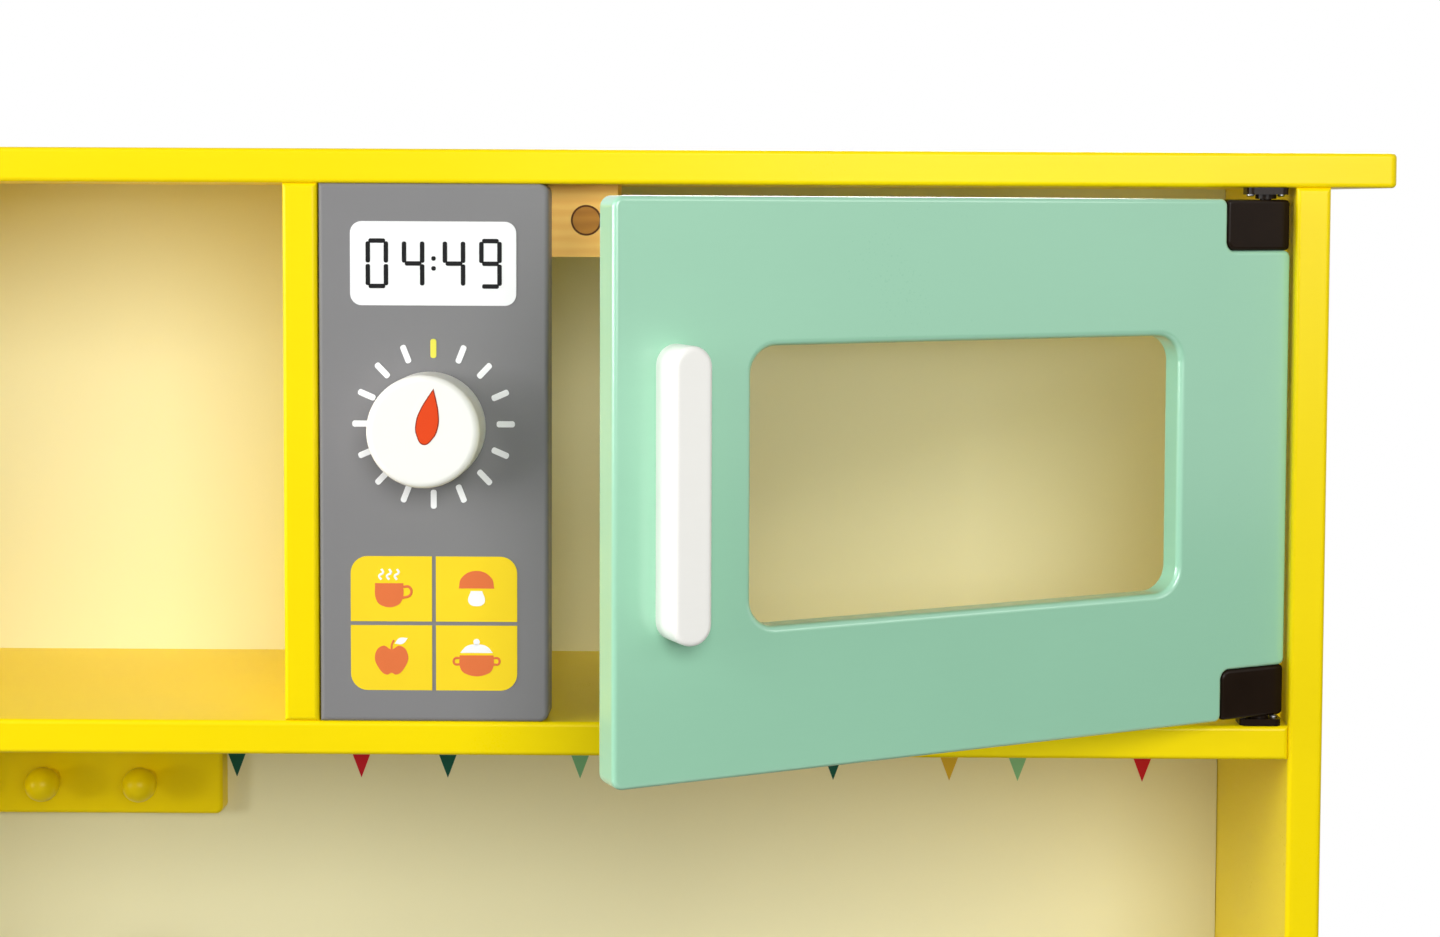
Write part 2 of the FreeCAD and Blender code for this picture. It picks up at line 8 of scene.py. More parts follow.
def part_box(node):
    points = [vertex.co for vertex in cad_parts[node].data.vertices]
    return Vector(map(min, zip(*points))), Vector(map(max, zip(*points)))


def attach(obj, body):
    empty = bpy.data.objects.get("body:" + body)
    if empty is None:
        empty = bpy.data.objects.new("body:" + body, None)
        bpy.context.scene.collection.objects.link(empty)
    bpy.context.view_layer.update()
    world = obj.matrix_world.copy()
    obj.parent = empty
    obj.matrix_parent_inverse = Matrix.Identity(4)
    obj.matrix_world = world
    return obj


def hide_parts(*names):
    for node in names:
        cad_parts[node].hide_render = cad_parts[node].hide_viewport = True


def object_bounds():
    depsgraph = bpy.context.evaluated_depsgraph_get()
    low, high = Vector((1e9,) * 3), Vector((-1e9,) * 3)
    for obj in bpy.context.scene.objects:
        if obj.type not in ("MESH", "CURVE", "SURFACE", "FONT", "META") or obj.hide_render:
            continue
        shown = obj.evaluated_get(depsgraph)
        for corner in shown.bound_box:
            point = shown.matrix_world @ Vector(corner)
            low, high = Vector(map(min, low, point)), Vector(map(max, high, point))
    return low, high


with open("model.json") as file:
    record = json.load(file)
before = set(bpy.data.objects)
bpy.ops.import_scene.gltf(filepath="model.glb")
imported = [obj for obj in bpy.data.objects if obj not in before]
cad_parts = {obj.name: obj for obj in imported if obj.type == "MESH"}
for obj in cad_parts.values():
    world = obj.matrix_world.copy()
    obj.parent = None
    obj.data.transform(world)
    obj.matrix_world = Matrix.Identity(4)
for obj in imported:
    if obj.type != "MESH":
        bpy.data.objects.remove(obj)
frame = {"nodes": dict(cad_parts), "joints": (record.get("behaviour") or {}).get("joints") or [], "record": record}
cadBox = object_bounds()
mm = 0.001
print("frame loaded:", len(frame["nodes"]), "nodes")


# Modelling helpers, all on the active piece

def deselectAll():
    if bpy.context.mode != "OBJECT":
        bpy.ops.object.mode_set(mode="OBJECT")
    bpy.ops.object.select_all(action="DESELECT")


def makeActive(piece):
    deselectAll()
    piece.select_set(True)
    bpy.context.view_layer.objects.active = piece


def named(name):
    piece = bpy.context.object
    piece.name = name
    piece.data.name = name
    return piece


def middleOf(item):
    points = [item.co] if isinstance(item, bmesh.types.BMVert) else [v.co for v in item.verts]
    return sum(points, Vector()) / len(points)


# selects the vertices, edges or faces whose middle passes the test, in edit mode
def pick(kind, test):
    bpy.ops.mesh.select_mode(type=kind)
    bpy.ops.mesh.select_all(action="DESELECT")
    mesh = bmesh.from_edit_mesh(bpy.context.object.data)
    items = {"VERT": mesh.verts, "EDGE": mesh.edges, "FACE": mesh.faces}[kind]
    for item in items:
        item.select_set(test(middleOf(item)))
    mesh.select_flush_mode()
    bmesh.update_edit_mesh(bpy.context.object.data)


# flat sheet in the XY plane, left in edit mode with everything selected
def startSheet(name, width, height):
    deselectAll()
    bpy.ops.mesh.primitive_plane_add(size=1)
    sheet = named(name)
    bpy.ops.object.mode_set(mode="EDIT")
    bpy.ops.mesh.select_all(action="SELECT")
    bpy.ops.transform.resize(value=(width, height, 1))
    return sheet


# round disc in the XY plane, left in edit mode with its face selected
def startDisc(name, radius, sides=32):
    deselectAll()
    bpy.ops.mesh.primitive_circle_add(vertices=sides, radius=radius, fill_type="NGON")
    disc = named(name)
    bpy.ops.object.mode_set(mode="EDIT")
    bpy.ops.mesh.select_mode(type="FACE")
    bpy.ops.mesh.select_all(action="SELECT")
    return disc


# raises the selected face and narrows it
def lift(height, narrow=1.0):
    bpy.ops.mesh.extrude_region_move(TRANSFORM_OT_translate={"value": (0, 0, height)})
    bpy.ops.transform.resize(value=(narrow, narrow, 1), center_override=(0, 0, 0))


def roundCorners(radius, segments=8):
    pick("VERT", lambda p: True)
    bpy.ops.mesh.bevel(offset=radius, offset_type="OFFSET", segments=segments, affect="VERTICES")


# gives a flat sheet its thickness upwards and leaves edit mode
def thicken(thick):
    bpy.ops.mesh.select_mode(type="FACE")
    bpy.ops.mesh.select_all(action="SELECT")
    lift(thick)
    closeMesh()


def closeMesh():
    bpy.ops.mesh.select_all(action="SELECT")
    bpy.ops.mesh.remove_doubles(threshold=0.000002)
    bpy.ops.mesh.normals_make_consistent(inside=False)
    bpy.ops.object.mode_set(mode="OBJECT")


def applyPlace(piece):
    makeActive(piece)
    bpy.ops.object.transform_apply(location=True, rotation=True, scale=True)


def copyOf(piece, name):
    makeActive(piece)
    bpy.ops.object.duplicate(linked=False)
    return named(name)


def joinAll(pieces, name):
    makeActive(pieces[0])
    for piece in pieces:
        piece.select_set(True)
    if len(pieces) > 1:
        bpy.ops.object.join()
    return named(name)


def discard(piece):
    bpy.data.objects.remove(piece)


# cuts the shape of another piece out of a piece
def carve(piece, cutter):
    makeActive(piece)
    cut = piece.modifiers.new("carve", "BOOLEAN")
    cut.operation = "DIFFERENCE"
    cut.object = cutter
    bpy.ops.object.modifier_apply(modifier=cut.name)
    discard(cutter)


# turns a piece made along +Z to point along a direction, with its foot at a place
def pointAlong(piece, place, direction):
    upright = Vector((0, 0, 1))
    piece.rotation_euler = upright.rotation_difference(Vector(direction)).to_euler()
    piece.location = place
    applyPlace(piece)


def faceFront(piece, x, y, z):
    pointAlong(piece, (x, y, z), (0, -1, 0))


def moveFlat(piece, x, y, turn=0.0):
    piece.rotation_euler = (0, 0, turn)
    piece.location = (x, y, 0)
    applyPlace(piece)


# closed flat shape through points (x, y, handle), in the XY plane
def drawOutline(name, points, thick):
    deselectAll()
    bpy.ops.curve.primitive_bezier_circle_add(radius=1)
    drawing = named(name)
    curve = drawing.data
    curve.dimensions = "2D"
    curve.fill_mode = "BOTH"
    curve.extrude = thick / 2
    curve.resolution_u = 8
    spots = curve.splines[0].bezier_points
    spots.add(len(points) - len(spots))
    for spot, (x, y, handle) in zip(spots, points):
        spot.co = (x, y, 0)
        spot.handle_left_type = handle
        spot.handle_right_type = handle
    bpy.ops.object.convert(target="MESH")
    drawing.location.z = thick / 2
    applyPlace(drawing)
    return drawing


# stroke of a round pen along points, pressed flat
def drawStroke(name, points, width, thick):
    deselectAll()
    bpy.ops.curve.primitive_bezier_curve_add()
    drawing = named(name)
    curve = drawing.data
    curve.dimensions = "3D"
    curve.bevel_depth = width / 2
    curve.bevel_resolution = 3
    curve.use_fill_caps = True
    curve.resolution_u = 8
    spots = curve.splines[0].bezier_points
    spots.add(len(points) - len(spots))
    for spot, (x, y) in zip(spots, points):
        spot.co = (x, y, 0)
        spot.handle_left_type = "AUTO"
        spot.handle_right_type = "AUTO"
    bpy.ops.object.convert(target="MESH")
    drawing.scale = (1, 1, 2 * thick / width)
    applyPlace(drawing)
    return drawing


def dress(piece, finish, body):
    piece.data.materials.clear()
    piece.data.materials.append(finish)
    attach(piece, body)
    return piece


# Shader helpers

# a socket that takes part in Python maths
class Wire:
    def __init__(self, finish, socket):
        self.finish = finish
        self.socket = socket

    def maths(self, operation, first, second):
        return self.finish.node("Math", {"operation": operation}, {0: first, 1: second})

    def __add__(self, other):
        return self.maths("ADD", self, other)

    def __radd__(self, other):
        return self.maths("ADD", other, self)

    def __sub__(self, other):
        return self.maths("SUBTRACT", self, other)

    def __rsub__(self, other):
        return self.maths("SUBTRACT", other, self)

    def __mul__(self, other):
        return self.maths("MULTIPLY", self, other)

    def __rmul__(self, other):
        return self.maths("MULTIPLY", other, self)


# the node tree of a material or a world
class Finish:
    def __init__(self, block):
        block.use_nodes = True
        self.block = block
        self.tree = block.node_tree
        self.tree.nodes.clear()

    def node(self, kind, settings=None, inputs=None, output=0):
        made = self.tree.nodes.new("ShaderNode" + kind)
        for key, value in (settings or {}).items():
            setattr(made, key, value)
        for key, value in (inputs or {}).items():
            if isinstance(value, Wire):
                self.tree.links.new(value.socket, made.inputs[key])
            else:
                made.inputs[key].default_value = value
        return Wire(self, made.outputs[output]) if made.outputs else None

    # places on the piece, in metres, stretched by a scale
    def places(self, scale=(1, 1, 1), shift=(0, 0, 0)):
        here = self.node("TexCoord", output="Object")
        return self.node("Mapping", {}, {"Vector": here, "Location": shift, "Scale": scale})

    def noise(self, vector, scale, detail=2.0, rough=0.5):
        sockets = {"Vector": vector, "Scale": scale, "Detail": detail, "Roughness": rough}
        return self.node("TexNoise", {}, sockets)

    def mix(self, mask, first, second):
        return self.node("Mix", {"data_type": "RGBA"}, {0: mask, 6: first, 7: second}, 2)

    # mask that rises from 0 to 1 between two values
    def step(self, value, low, high):
        sockets = {"Value": value, "From Min": low, "From Max": high}
        return self.node("MapRange", {"interpolation_type": "SMOOTHSTEP"}, sockets)

    def bump(self, height, strength, depth):
        return self.node("Bump", {}, {"Height": height, "Strength": strength, "Distance": depth})

    def close(self, inputs):
        shader = self.node("BsdfPrincipled", {}, inputs)
        self.node("OutputMaterial", {}, {"Surface": shader})
        return self.block


def newFinish(name):
    return Finish(bpy.data.materials.new(name))


# screen colour, 0 to 255, as a shader colour
def tone(red, green, blue, gain=1.0):
    def linear(value):
        value = value / 255
        return value / 12.92 if value <= 0.04045 else ((value + 0.055) / 1.055) ** 2.4
    return (linear(red) * gain, linear(green) * gain, linear(blue) * gain, 1)


# Finishes

def paintedBoard(name, colour, rough=0.4, shine=0.12, lacquer=0.0):
    paint = newFinish(name)
    broad = paint.noise(paint.places(), 9.0, 3.0)
    roller = paint.noise(paint.places((40, 40, 260)), 2.0, 3.0, 0.6)
    peel = paint.noise(paint.places(), 900.0, 2.0)
    shade = paint.mix(broad, tone(*colour, 0.95), tone(*colour, 1.03))
    shade = paint.mix(roller * 0.18, shade, tone(*colour, 0.9))
    height = peel * 0.7 + roller * 0.5
    return paint.close({
        "Base Color": shade,
        "Roughness": rough + (broad - 0.5) * 0.1 + (peel - 0.5) * 0.06,
        "Normal": paint.bump(height, 0.12, 0.0002),
        "Specular IOR Level": shine,
        "Coat Weight": lacquer,
        "Coat Roughness": 0.14,
        "Coat IOR": 1.6,
    })


def creamPanel(name, colour):
    paper = newFinish(name)
    broad = paper.noise(paper.places(), 5.0, 3.0)
    fibre = paper.noise(paper.places(), 700.0, 3.0, 0.6)
    shade = paper.mix(broad, tone(*colour, 0.96), tone(*colour, 1.02))
    shade = paper.mix(fibre * 0.08, shade, tone(*colour, 0.85))
    return paper.close({
        "Base Color": shade,
        "Roughness": 0.5 + (fibre - 0.5) * 0.12,
        "Normal": paper.bump(fibre, 0.06, 0.0002),
        "Specular IOR Level": 0.1,
    })


def barePine(name, pale, dark):
    wood = newFinish(name)
    rings = wood.node("TexWave", {"wave_type": "RINGS", "rings_direction": "X"}, {
        "Vector": wood.places((0.35, 1, 1), shift=(0, 0.021, -0.93)),
        "Scale": 70.0, "Distortion": 2.4, "Detail": 2.0, "Detail Scale": 1.4,
    }, 1)
    fibre = wood.noise(wood.places((40, 900, 900)), 1.0, 3.0, 0.6)
    patch = wood.noise(wood.places(), 30.0, 2.0)
    shade = wood.mix(rings * 0.45 + fibre * 0.3, tone(*pale), tone(*dark))
    shade = wood.mix(patch * 0.25, shade, tone(*dark))
    return wood.close({
        "Base Color": shade,
        "Roughness": 0.5 + (fibre - 0.5) * 0.2,
        "Normal": wood.bump(fibre + rings * 0.4, 0.18, 0.0003),
        "Specular IOR Level": 0.2,
    })


def mouldedPlastic(name, colour, rough=0.22):
    plastic = newFinish(name)
    grain = plastic.noise(plastic.places(), 1600.0, 2.0)
    broad = plastic.noise(plastic.places(), 60.0, 2.0)
    shade = plastic.mix(broad, tone(*colour, 0.8), tone(*colour, 1.3))
    return plastic.close({
        "Base Color": shade,
        "Roughness": rough + (grain - 0.5) * 0.12 + (broad - 0.5) * 0.08,
        "Normal": plastic.bump(grain, 0.08, 0.0001),
        "Specular IOR Level": 0.1,
    })


def brushedMetal(name, colour, stretch, rough=0.3):
    metal = newFinish(name)
    brush = metal.noise(metal.places(stretch), 1.0, 3.0, 0.6)
    cloud = metal.noise(metal.places(), 40.0, 2.0)
    shade = metal.mix(brush * 0.7 + cloud * 0.3, tone(*colour, 0.82), tone(*colour, 1.08))
    return metal.close({
        "Base Color": shade,
        "Metallic": 1.0,
        "Roughness": rough + (brush - 0.5) * 0.22 + (cloud - 0.5) * 0.08,
        "Normal": metal.bump(brush, 0.08, 0.0001),
    })


def clearPane(name):
    pane = newFinish(name)
    smear = pane.noise(pane.places(), 25.0, 3.0)
    shade = pane.mix(smear, tone(236, 240, 232), tone(246, 248, 244))
    return pane.close({
        "Base Color": shade,
        "Roughness": 0.06 + smear * 0.05,
        "Alpha": 0.01 + smear * 0.015,
    })


def printedInk(name, colour, rough=0.42):
    ink = newFinish(name)
    speck = ink.noise(ink.places(), 1900.0, 2.0)
    broad = ink.noise(ink.places(), 45.0, 2.0)
    shade = ink.mix(broad, tone(*colour, 0.95), tone(*colour, 1.03))
    shade = ink.mix(speck * 0.14, shade, tone(*colour, 0.82))
    return ink.close({
        "Base Color": shade,
        "Roughness": rough + (speck - 0.5) * 0.12,
        "Normal": ink.bump(speck, 0.05, 0.0001),
        "Specular IOR Level": 0.12,
    })


colours = {
    "yellow": (253, 225, 2),
    "cream": (245, 239, 194),
    "grey": (133, 132, 133),
    "mint": (162, 219, 186),
    "white": (253, 252, 246),
    "pinePale": (254, 207, 112),
    "pineDark": (239, 177, 87),
    "black": (30, 20, 12),
    "plugPale": (192, 134, 50),
    "plugDark": (158, 102, 34),
    "faucetGrey": (128, 129, 130),
    "zinc": (196, 197, 200),
    "sinkSteel": (200, 201, 202),
}
finishes = {
    "yellow_board": paintedBoard("yellowPaint", colours["yellow"], 0.3, 0.17),
    "cream_panel": creamPanel("creamPanel", colours["cream"]),
    "grey_board": paintedBoard("greyPaint", colours["grey"], 0.45),
    "mint_board": paintedBoard("mintPaint", colours["mint"], 0.3, 0.3, 0.9),
    "white_wood": paintedBoard("whitePaint", colours["white"], 0.34),
    "natural_wood": barePine("barePine", colours["pinePale"], colours["pineDark"]),
    "black_plastic": mouldedPlastic("blackPlastic", colours["black"]),
    "clear_pane": clearPane("clearPane"),
    "steel": brushedMetal("zincSteel", colours["zinc"], (300, 300, 300)),
    "magnet": barePine("magnetPlug", colours["plugPale"], colours["plugDark"]),
    "sink_steel": brushedMetal("sinkSteel", colours["sinkSteel"], (18, 18, 900)),
    "grey_wood": paintedBoard("faucetPaint", colours["faucetGrey"], 0.36),
}
for subpart in frame["record"]["subparts"]:
    node = frame["nodes"][subpart["node"]]
    node.data.materials.clear()
    node.data.materials.append(finishes[subpart["material_slot"]])
print("finishes on the CAD nodes:", len(finishes))

inks = {
    "white": printedInk("whiteInk", (252, 252, 252)),
    "black": printedInk("blackInk", (24, 24, 25)),
    "yellow": printedInk("yellowInk", (253, 219, 42)),
    "paleYellow": printedInk("paleYellowInk", (240, 232, 90)),
    "orange": printedInk("orangeInk", (230, 120, 68)),
    "red": printedInk("redInk", (235, 76, 30)),
    "darkRed": printedInk("darkRedInk", (150, 48, 24)),
    "coilRed": printedInk("coilRedInk", (196, 60, 42)),
    "blue": printedInk("blueInk", (66, 120, 190)),
    "brown": printedInk("brownInk", (92, 56, 20)),
    "flagRed": printedInk("flagRedInk", (214, 36, 48)),
    "flagGreen": printedInk("flagGreenInk", (28, 92, 74)),
    "flagMid": printedInk("flagMidInk", (128, 190, 140)),
    "flagMustard": printedInk("flagMustardInk", (222, 182, 50)),
    "flagMint": printedInk("flagMintInk", (140, 200, 150)),
}

# Control panel

panelLow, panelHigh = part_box("control_panel")
panelX = (panelLow.x + panelHigh.x) / 2
panelFace = panelLow.y


# middle of a knob's front
def knobFront(node):
    low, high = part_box(node)
    return (low.x + high.x) / 2, low.y, (low.z + high.z) / 2


display = {
    "width": 72.0 * mm, "height": 36.4 * mm, "corner": 5.0 * mm, "thick": 0.3 * mm,
    "drop": 34.6 * mm,    # middle below the panel's top
}


def displayPlate():
    plate = startSheet("displayPlate", display["width"], display["height"])
    roundCorners(display["corner"])
    thicken(display["thick"])
    faceFront(plate, panelX, panelFace, panelHigh.z - display["drop"])
    dress(plate, inks["white"], "carcass")


figures = {
    "width": 9.8 * mm, "height": 21.6 * mm, "stroke": 1.95 * mm, "gap": 0.5 * mm,
    "thick": 0.12 * mm, "round": 0.42,
    "shown": ((-24.35, "0"), (-8.65, "4"), (9.05, "4"), (24.85, "9")),
    "colon": ((0.2, 2.2), (0.2, -2.1)),
    "bars": {"0": "abcdef", "4": "bcfg", "9": "abcdfg"},
}


def figureBar(name, length):
    bar = startSheet(name, length, figures["stroke"])
    roundCorners(figures["stroke"] * figures["round"], 4)
    thicken(figures["thick"])
    return bar


def displayFigures():
    pen = figures["stroke"]
    across = (figures["width"] - pen) / 2
    up = (figures["height"] - pen) / 2
    spare = pen * 0.2 - 2 * figures["gap"]
    flat = figureBar("flatBar", 2 * across + spare)
    tall = figureBar("tallBar", up + spare)
    dot = figureBar("colonDot", pen)
    places = {
        "a": (0, up, flat), "g": (0, 0, flat), "d": (0, -up, flat),
        "f": (-across, up / 2, tall), "b": (across, up / 2, tall),
        "e": (-across, -up / 2, tall), "c": (across, -up / 2, tall),
    }
    bars = []
    for shift, figure in figures["shown"]:
        for letter in figures["bars"][figure]:
            x, y, model = places[letter]
            bar = copyOf(model, "bar")
            moveFlat(bar, shift * mm + x, y, math.pi / 2 if model is tall else 0)
            bars.append(bar)
    for x, y in figures["colon"]:
        bar = copyOf(dot, "bar")
        moveFlat(bar, x * mm, y * mm)
        bars.append(bar)
    for model in (flat, tall, dot):
        discard(model)
    printed = joinAll(bars, "displayFigures")
    faceFront(printed, panelX, panelFace - display["thick"], panelHigh.z - display["drop"])
    dress(printed, inks["black"], "carcass")


ticks = {
    "count": 16, "inner": 28.7 * mm, "outer": 37.0 * mm, "width": 2.7 * mm, "thick": 0.2 * mm,
    "squeeze": 0.955,     # ring a little narrower than high
    "rise": 1.3 * mm,     # ring's middle above the dial's
}


# ring of ticks round the origin, without the top one, and the top tick
def tickRing():
    middle = (ticks["inner"] + ticks["outer"]) / 2
    model = startSheet("tick", ticks["width"], ticks["outer"] - ticks["inner"])
    roundCorners(ticks["width"] * 0.4, 5)
    thicken(ticks["thick"])
    marks = []
    for i in range(ticks["count"]):
        angle = i * math.tau / ticks["count"]
        mark = copyOf(model, "tickCopy")
        moveFlat(mark, -middle * math.sin(angle), middle * math.cos(angle), angle)
        marks.append(mark)
    discard(model)
    return joinAll(marks[1:], "tickRing"), marks[0]


pointer = {
    "half": ((0.0, 0.0), (3.2, 3.1), (4.4, 8.2), (3.5, 14.1), (2.0, 18.3), (0.0, 23.0)),
    "foot": (0.6 * mm, -4.9 * mm), "lean": math.radians(-10.4), "thick": 0.2 * mm,
    "edge": 0.5,          # darker rim round the leaf, in millimetres
}


# leaf-shaped mark with its tip up, grown by a rim
def pointerLeaf(name, grow, thick):
    first, *sides, last = pointer["half"]
    right = [((x + grow) * mm, y * mm, "AUTO") for x, y in sides]
    left = [(-x, y, handle) for x, y, handle in reversed(right)]
    foot = (first[0] * mm, (first[1] - grow) * mm, "AUTO")
    tip = (last[0] * mm, (last[1] + 2 * grow) * mm, "VECTOR")
    leaf = drawOutline(name, [foot] + right + [tip] + left, thick)
    moveFlat(leaf, *pointer["foot"], pointer["lean"])
    return leaf


knobs = {
    "microwave_dial_knob": "microwave_dial",
    "left_oven_knob": "left_oven_dial",
    "centre_oven_knob": "centre_oven_dial",
    "right_oven_knob": "right_oven_dial",
}


def knobMarks():
    ring, top = tickRing()
    leaf = pointerLeaf("leaf", 0.0, pointer["thick"])
    rim = pointerLeaf("leafRim", pointer["edge"], pointer["thick"] / 2)
    for node, body in knobs.items():
        x, face, z = knobFront(node)
        board = panelFace if body == "microwave_dial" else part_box("oven_fascia")[0].y
        ringX, ringZ = (panelX, z + ticks["rise"]) if body == "microwave_dial" else (x, z)
        for model, name, ink, slot in ((ring, "Ticks", "white", "white_wood"),
                                       (top, "TopTick", "paleYellow", "yellow_board")):
            mark = copyOf(model, body + name)
            mark.scale.x = ticks["squeeze"]
            applyPlace(mark)
            faceFront(mark, ringX, board, ringZ)
            dress(mark, inks[ink], "carcass")
        for model, name, ink in ((leaf, "Pointer", "red"), (rim, "PointerRim", "darkRed")):
            mark = copyOf(model, body + name)
            faceFront(mark, x, face, z)
            dress(mark, inks[ink], body)
    for model in (ring, top, leaf, rim):
        discard(model)


tiles = {
    "width": 72.6 * mm, "height": 58.9 * mm, "corner": 7.4 * mm, "gap": 1.7 * mm,
    "thick": 0.25 * mm, "rise": 43.35 * mm,    # middle above the panel's foot
}


def menuTiles():
    sheet = startSheet("menuTiles", tiles["width"], tiles["height"])
    roundCorners(tiles["corner"])
    half = tiles["gap"] / 2
    for normal in ((1, 0, 0), (0, 1, 0)):
        for side in (-half, half):
            bpy.ops.mesh.select_all(action="SELECT")
            bpy.ops.mesh.bisect(plane_co=Vector(normal) * side, plane_no=normal)
    pick("FACE", lambda p: abs(p.x) < half or abs(p.y) < half)
    bpy.ops.mesh.delete(type="FACE")
    thicken(tiles["thick"])
    faceFront(sheet, panelX, panelFace, panelLow.z + tiles["rise"])
    dress(sheet, inks["yellow"], "carcass")


motifs = {"scale": 1.55 * mm, "thick": 0.1 * mm, "pen": 1.3 * mm}


def scaled(points):
    return [(x * motifs["scale"], y * motifs["scale"], *rest) for x, y, *rest in points]


def shape(points):
    return drawOutline("shape", scaled(points), motifs["thick"])


def stroke(points, width=1.0):
    return drawStroke("stroke", scaled(points), motifs["pen"] * width, motifs["thick"])


# cup: steam above a body with a handle
def cupMotif():
    body = shape([(-4.6, 1.6, "VECTOR"), (3.4, 1.6, "VECTOR"), (3.0, -3.2, "AUTO"),
                  (1.4, -4.8, "AUTO"), (-2.6, -4.8, "AUTO"), (-4.2, -3.2, "AUTO")])
    handle = stroke([(3.2, 0.6), (5.2, 0.4), (5.4, -1.6), (3.0, -2.6)], 0.9)
    steam = [stroke([(x, 2.6), (x - 0.6, 3.6), (x + 0.5, 4.6), (x, 5.6)], 0.75)
             for x in (-2.8, -0.6, 1.6)]
    return [body, handle], steam


# fruit with a leaf
def appleMotif():
    right = [(2.4, 3.4), (4.6, 1.0), (3.4, -3.2), (1.3, -4.8)]
    left = [(-x, y) for x, y in reversed(right)]
    skin = [(0, 2.4)] + right + [(0, -4.3)] + left
    body = shape([(x, y, "AUTO") for x, y in skin])
    stem = stroke([(0, 2.2), (0.1, 3.8), (0.7, 5.0)], 0.7)
    leaf = shape([(0.9, 4.0, "VECTOR"), (2.2, 5.6, "AUTO"), (4.6, 5.6, "VECTOR"),
                  (3.2, 4.0, "AUTO")])
    return [body, stem], [leaf]


# cooking pot under its lid
def potMotif():
    body = shape([(-4.8, 0.8, "VECTOR"), (4.8, 0.8, "VECTOR"), (4.6, -2.8, "AUTO"),
                  (3.2, -4.4, "AUTO"), (-3.2, -4.4, "AUTO"), (-4.6, -2.8, "AUTO")])
    ear = [(4.6, 0.0), (6.2, -0.2), (6.2, -1.6), (4.6, -1.8)]
    ears = [stroke([(side * x, y) for x, y in ear], 0.8) for side in (-1, 1)]
    lid = shape([(-4.6, 1.5, "VECTOR"), (4.6, 1.5, "VECTOR"), (2.8, 3.4, "AUTO"),
                 (0, 3.9, "AUTO"), (-2.8, 3.4, "AUTO")])
    grip = shape([(0.9, 4.6, "AUTO"), (0, 5.5, "AUTO"), (-0.9, 4.6, "AUTO"), (0, 3.7, "AUTO")])
    return [body] + ears, [lid, grip]


# mushroom: a domed cap over its stem
def mushroomMotif():
    cap = shape([(-5.0, 0.2, "VECTOR"), (5.0, 0.2, "VECTOR"), (4.2, 3.2, "AUTO"),
                 (0, 5.2, "AUTO"), (-4.2, 3.2, "AUTO")])
    stem = shape([(-1.6, -0.5, "VECTOR"), (1.6, -0.5, "VECTOR"), (2.2, -3.8, "AUTO"),
                  (0, -4.8, "AUTO"), (-2.2, -3.8, "AUTO")])
    return [cap], [stem]


def menuMotifs():
    acrossTile = (tiles["width"] + tiles["gap"]) / 4
    upTile = (tiles["height"] + tiles["gap"]) / 4
    layout = ((-1, 1, cupMotif), (1, 1, mushroomMotif), (-1, -1, appleMotif), (1, -1, potMotif))
    coloured = []
    white = []
    for sideX, sideZ, motif in layout:
        filled, light = motif()
        for group, parts in ((coloured, filled), (white, light)):
            for part in parts:
                moveFlat(part, sideX * acrossTile, sideZ * upTile)
                group.append(part)
    level = panelFace - tiles["thick"]
    for parts, name, ink in ((coloured, "menuMotifs", "orange"),
                             (white, "menuMotifsWhite", "white")):
        printed = joinAll(parts, name)
        faceFront(printed, panelX, level, panelLow.z + tiles["rise"])
        dress(printed, inks[ink], "carcass")


displayPlate()
displayFigures()
knobMarks()
menuTiles()
menuMotifs()
print("control panel and fascia printed")

# Bunting printed on the backsplash

splashLow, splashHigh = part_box("upper_back_panel")
shelfLow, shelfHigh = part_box("hutch_shelf")
bunting = {
    "width": 34.5 * mm, "height": 46.0 * mm, "tip": 50.3 * mm, "thick": 0.15 * mm,
    "string": 1.6 * mm, "stringEnd": 372.0 * mm,
    "flags": ((-306.5, "flagRed"), (-243.0, "flagMustard"), (-180.0, "flagMint"),
              (-116.4, "flagGreen"), (-53.1, "flagRed"), (-9.2, "flagGreen"),
              (58.0, "flagMid"), (122.0, "flagRed"), (186.5, "flagGreen"),
              (245.4, "flagMustard"), (280.1, "flagMint"), (343.3, "flagRed")),
}


def buntingFlags():
    model = startSheet("pennant", bunting["width"], bunting["height"])
    pick("VERT", lambda p: p.y < 0)
    bpy.ops.mesh.merge(type="CENTER")
    thicken(bunting["thick"])
    groups = {}
    for x, ink in bunting["flags"]:
        flag = copyOf(model, "flag")
        moveFlat(flag, x * mm, bunting["height"] / 2)
        groups.setdefault(ink, []).append(flag)
    discard(model)
    for ink, flags in groups.items():
        row = joinAll(flags, "bunting" + ink[4:])
        faceFront(row, 0, splashLow.y, shelfLow.z - bunting["tip"])
        dress(row, inks[ink], "carcass")


def buntingString():
    line = startSheet("buntingString", 2 * bunting["stringEnd"], bunting["string"])
    roundCorners(bunting["string"] * 0.4, 3)
    thicken(2 * bunting["thick"])
    faceFront(line, 0, splashLow.y, shelfLow.z - bunting["tip"] + bunting["height"])
    dress(line, inks["brown"], "carcass")


buntingFlags()
buntingString()
print("bunting printed")

# Screws and small fittings

panHead = {"radius": 3.2 * mm, "height": 1.6 * mm, "slot": 0.75 * mm, "slotDepth": 0.8 * mm}


# crossed pan head on the XY plane
def panScrew(name):
    high = panHead["height"]
    head = startDisc(name, panHead["radius"], 24)
    lift(high * 0.45)
    lift(high * 0.35, 0.86)
    lift(high * 0.2, 0.7)
    closeMesh()
    for turn in (0, math.pi / 2):
        bar = startSheet("slotBar", panHead["radius"] * 1.1, panHead["slot"])
        thicken(high)
        bar.location.z = high - panHead["slotDepth"]
        bar.rotation_euler.z = turn
        applyPlace(bar)
        carve(head, bar)
    return head


